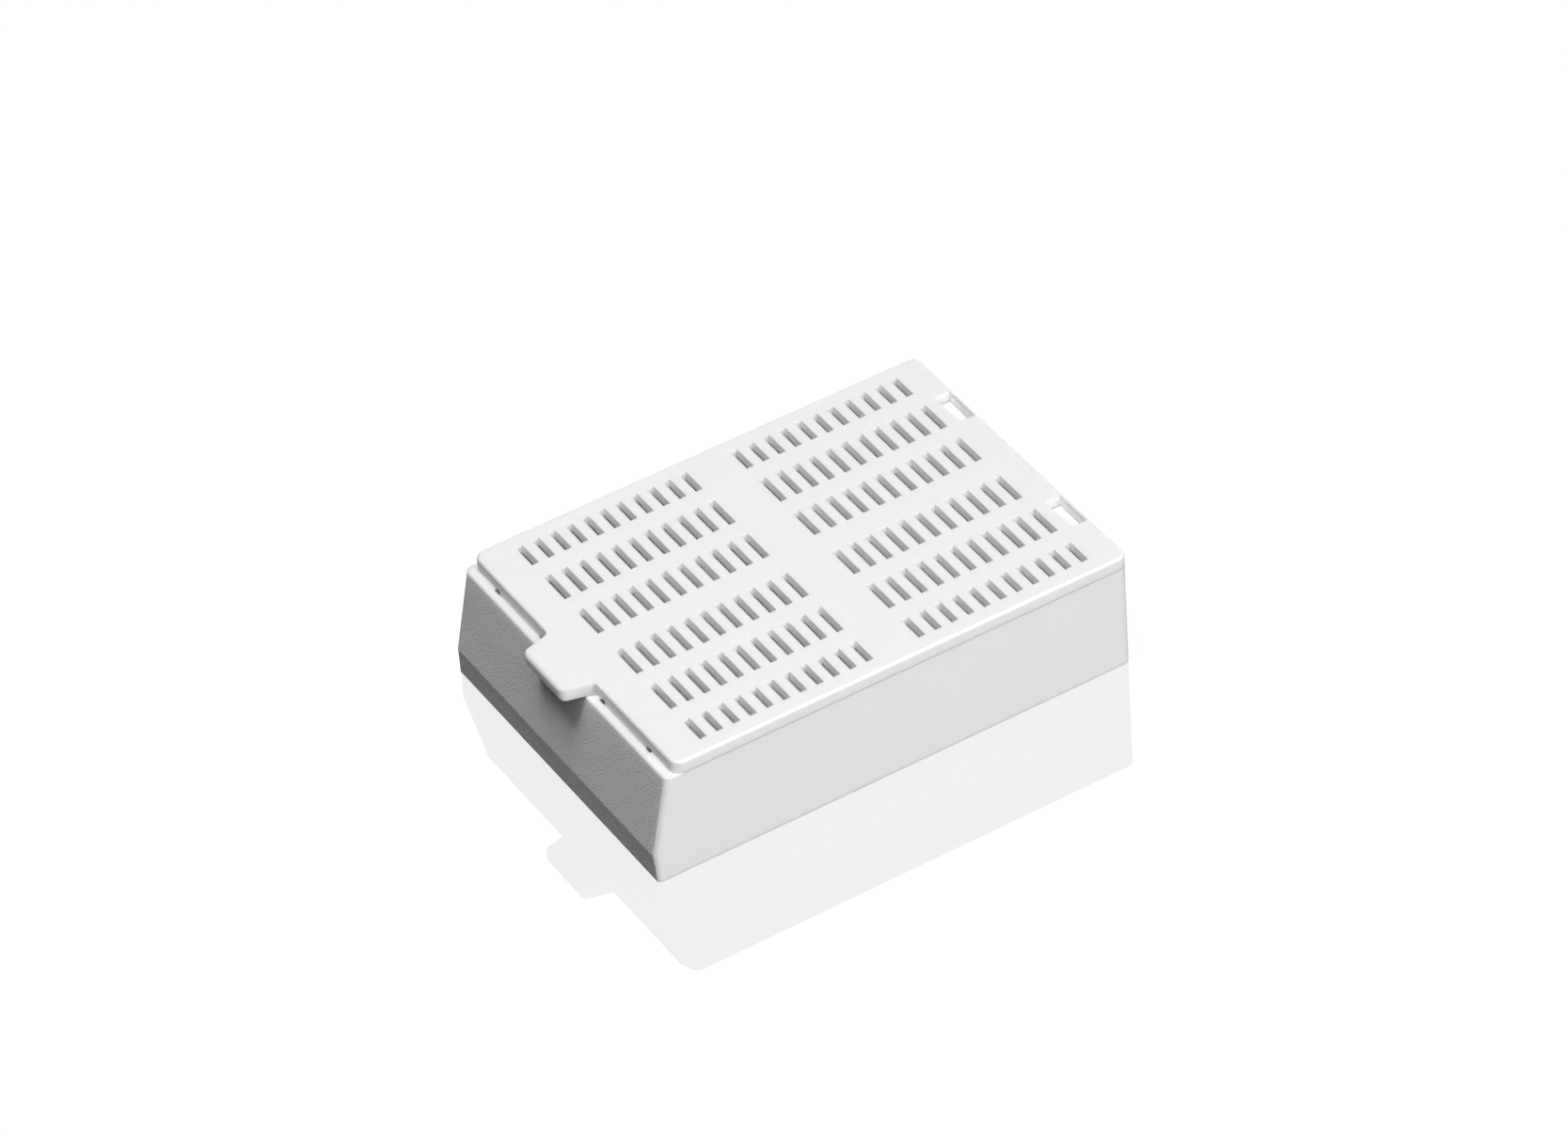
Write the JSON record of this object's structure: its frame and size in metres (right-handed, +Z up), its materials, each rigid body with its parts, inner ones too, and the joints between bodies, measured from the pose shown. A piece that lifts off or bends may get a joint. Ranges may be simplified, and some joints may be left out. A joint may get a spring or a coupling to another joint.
{
  "type": "tissue cassette",
  "caption": "Shallow moulded box with a slanted writing face, rows of slots in its floor and in its hinged, latching lid, and a lifting tab.",
  "frame": {"origin": "on the surface that the cassette rests on, under the middle of the base", "axes": "+X across the cassette, +Y from the writing face to the hinge, +Z up out of the lid"},
  "size_m": [0.052, 0.0755, 0.0188],
  "materials": {
    "acetal": "satin"
  },
  "bodies": {
    "base": {"base": "acetal"},
    "lid": {"lid": "acetal"}
  },
  "joints": [
    {"name": "lid_hinge", "type": "hinge", "parent": "base", "child": "lid", "pos_m": [0, 0.0375, 0.01682], "axis": [-1, 0, 0], "range_deg": [0, 110]}
  ]
}
